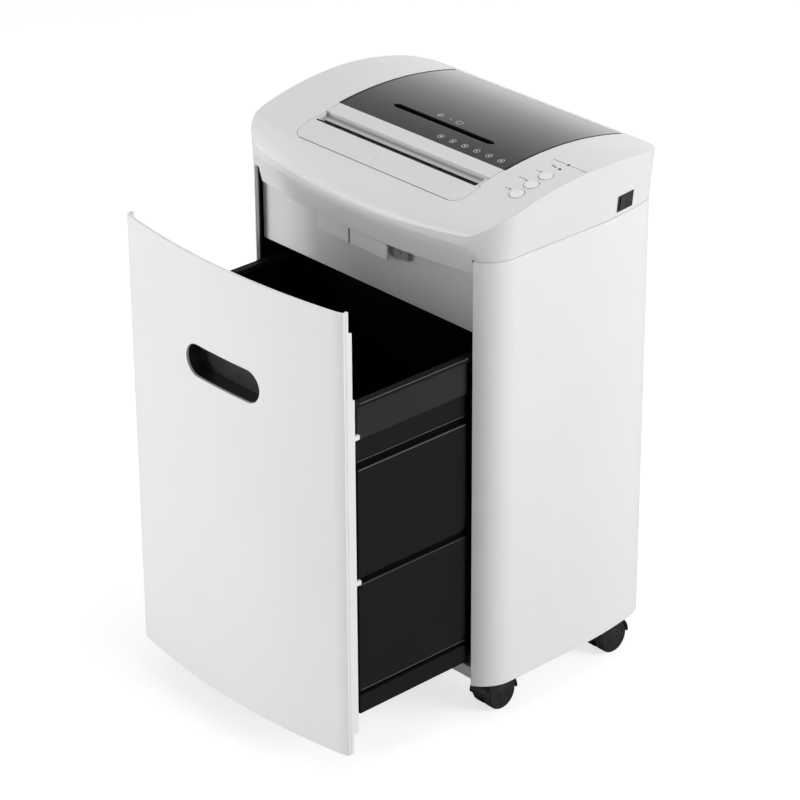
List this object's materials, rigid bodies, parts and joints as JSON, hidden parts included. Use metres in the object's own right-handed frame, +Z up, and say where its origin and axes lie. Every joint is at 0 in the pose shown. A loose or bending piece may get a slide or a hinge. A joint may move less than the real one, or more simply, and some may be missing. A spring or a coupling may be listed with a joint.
{
  "type": "paper shredder",
  "caption": "Upright paper shredder with a crowned cutting head, paper and disc slots, push buttons, a pull-out waste drawer and swivel castors.",
  "frame": {"origin": "on the floor, at the middle of the box round the shredder with its drawer open as drawn", "axes": "+Z up, +X to the right seen from the front, -Y towards the user, where the drawer comes out"},
  "size_m": [0.394, 0.452, 0.6106],
  "materials": {
    "white_plastic": "satin moulded",
    "dark_gloss": "glossy smoked",
    "black_plastic": "satin moulded",
    "castor_plastic": "satin moulded",
    "steel": "ground",
    "bronze": "sintered",
    "nylon": "moulded",
    "motor_paint": "painted",
    "board_green": "lacquered",
    "light_lens": "clear dark",
    "grey_plastic": "moulded"
  },
  "bodies": {
    "cabinet": {"cabinet_shell": "white_plastic", "base_plate": "white_plastic", "top_cover": "white_plastic", "entry_insert": "white_plastic", "throat_bar": "white_plastic", "head_housing": "white_plastic", "interlock_bracket": "white_plastic", "control_panel": "dark_gloss", "cabinet_liner": "black_plastic", "paper_guides": "black_plastic", "rocker_bezel": "black_plastic", "disc_chute": "black_plastic", "cord_gland": "black_plastic", "cabinet_rails": "steel", "cutter_plate_left": "steel", "cutter_plate_right": "steel", "tie_bars": "steel", "gear_post": "steel", "cover_screws": "steel", "shaft_bushes": "bronze", "stripper_front": "nylon", "stripper_rear": "nylon", "motor_case": "motor_paint", "control_board": "board_green", "status_lights": "light_lens", "interlock_switch": "grey_plastic"},
    "drawer": {"drawer_front": "white_plastic", "handle_cup": "black_plastic", "waste_bin": "black_plastic", "bin_rim": "black_plastic", "drawer_side_left": "black_plastic", "drawer_side_right": "black_plastic", "panel_clips": "white_plastic", "drawer_runners": "steel", "drawer_screws": "steel"},
    "button_front": {"button_front": "white_plastic"},
    "button_middle": {"button_middle": "white_plastic"},
    "button_rear": {"button_rear": "white_plastic"},
    "rocker": {"rocker_paddle": "black_plastic"},
    "plunger": {"interlock_plunger": "grey_plastic"},
    "rear_cutter": {"rear_shaft": "steel", "rear_cutters": "steel", "rear_gear": "steel", "drive_gear": "steel"},
    "front_cutter": {"front_shaft": "steel", "front_cutters": "steel", "front_gear": "steel"},
    "counter": {"counter_gear": "nylon"},
    "rotor": {"motor_shaft": "steel"},
    "castor_front_left": {"castor_fork_front_left": "castor_plastic"},
    "wheels_front_left": {"castor_wheels_front_left": "castor_plastic"},
    "castor_front_right": {"castor_fork_front_right": "castor_plastic"},
    "wheels_front_right": {"castor_wheels_front_right": "castor_plastic"},
    "castor_rear_left": {"castor_fork_rear_left": "castor_plastic"},
    "wheels_rear_left": {"castor_wheels_rear_left": "castor_plastic"},
    "castor_rear_right": {"castor_fork_rear_right": "castor_plastic"},
    "wheels_rear_right": {"castor_wheels_rear_right": "castor_plastic"}
  },
  "joints": [
    {"name": "drawer_slide", "type": "slide", "parent": "cabinet", "child": "drawer", "axis": [0, -1, 0], "range_m": [-0.173, 0.03]},
    {"name": "button_front_press", "type": "slide", "parent": "cabinet", "child": "button_front", "axis": [0, 0.2174, -0.9761], "range_m": [0, 0.0015], "stiffness_N_per_m": 800},
    {"name": "button_middle_press", "type": "slide", "parent": "cabinet", "child": "button_middle", "axis": [0, 0.1688, -0.9856], "range_m": [0, 0.0015], "stiffness_N_per_m": 800},
    {"name": "button_rear_press", "type": "slide", "parent": "cabinet", "child": "button_rear", "axis": [0, 0.12, -0.9928], "range_m": [0, 0.0015], "stiffness_N_per_m": 800},
    {"name": "rocker_tilt", "type": "hinge", "parent": "cabinet", "child": "rocker", "pos_m": [0.1857, 0.16116, 0.55831], "axis": [0.104, 0.0121, 0.9945], "range_deg": [-7, 7]},
    {"name": "plunger_press", "type": "slide", "parent": "cabinet", "child": "plunger", "axis": [0, 1, 0], "range_m": [0, 0.002], "stiffness_N_per_m": 300},
    {"name": "rear_cutter_spin", "type": "hinge", "parent": "cabinet", "child": "rear_cutter", "pos_m": [0, 0.039, 0.505], "axis": [1, 0, 0], "continuous": true},
    {"name": "front_cutter_spin", "type": "hinge", "parent": "cabinet", "child": "front_cutter", "pos_m": [0, 0.005, 0.505], "axis": [1, 0, 0], "continuous": true},
    {"name": "counter_spin", "type": "hinge", "parent": "cabinet", "child": "counter", "pos_m": [0, 0.07988, 0.51988], "axis": [1, 0, 0], "continuous": true},
    {"name": "rotor_spin", "type": "hinge", "parent": "cabinet", "child": "rotor", "pos_m": [0, 0.11368, 0.51082], "axis": [1, 0, 0], "continuous": true},
    {"name": "castor_front_left_swivel", "type": "hinge", "parent": "cabinet", "child": "castor_front_left", "pos_m": [-0.155, 0, 0.05], "axis": [0, 0, 1], "continuous": true},
    {"name": "wheels_front_left_roll", "type": "hinge", "parent": "castor_front_left", "child": "wheels_front_left", "pos_m": [-0.155, 0.012, 0.019], "axis": [1, 0, 0], "continuous": true},
    {"name": "castor_front_right_swivel", "type": "hinge", "parent": "cabinet", "child": "castor_front_right", "pos_m": [0.155, 0, 0.05], "axis": [0, 0, 1], "continuous": true},
    {"name": "wheels_front_right_roll", "type": "hinge", "parent": "castor_front_right", "child": "wheels_front_right", "pos_m": [0.155, 0.012, 0.019], "axis": [1, 0, 0], "continuous": true},
    {"name": "castor_rear_left_swivel", "type": "hinge", "parent": "cabinet", "child": "castor_rear_left", "pos_m": [-0.155, 0.172, 0.05], "axis": [0, 0, 1], "continuous": true},
    {"name": "wheels_rear_left_roll", "type": "hinge", "parent": "castor_rear_left", "child": "wheels_rear_left", "pos_m": [-0.155, 0.184, 0.019], "axis": [1, 0, 0], "continuous": true},
    {"name": "castor_rear_right_swivel", "type": "hinge", "parent": "cabinet", "child": "castor_rear_right", "pos_m": [0.155, 0.172, 0.05], "axis": [0, 0, 1], "continuous": true},
    {"name": "wheels_rear_right_roll", "type": "hinge", "parent": "castor_rear_right", "child": "wheels_rear_right", "pos_m": [0.155, 0.184, 0.019], "axis": [1, 0, 0], "continuous": true}
  ],
  "couplings": [
    {"joint": "front_cutter_spin", "follows": "rear_cutter_spin", "ratio": -1},
    {"joint": "counter_spin", "follows": "rear_cutter_spin", "ratio": -3.1429},
    {"joint": "rotor_spin", "follows": "rear_cutter_spin", "ratio": 12.571}
  ]
}
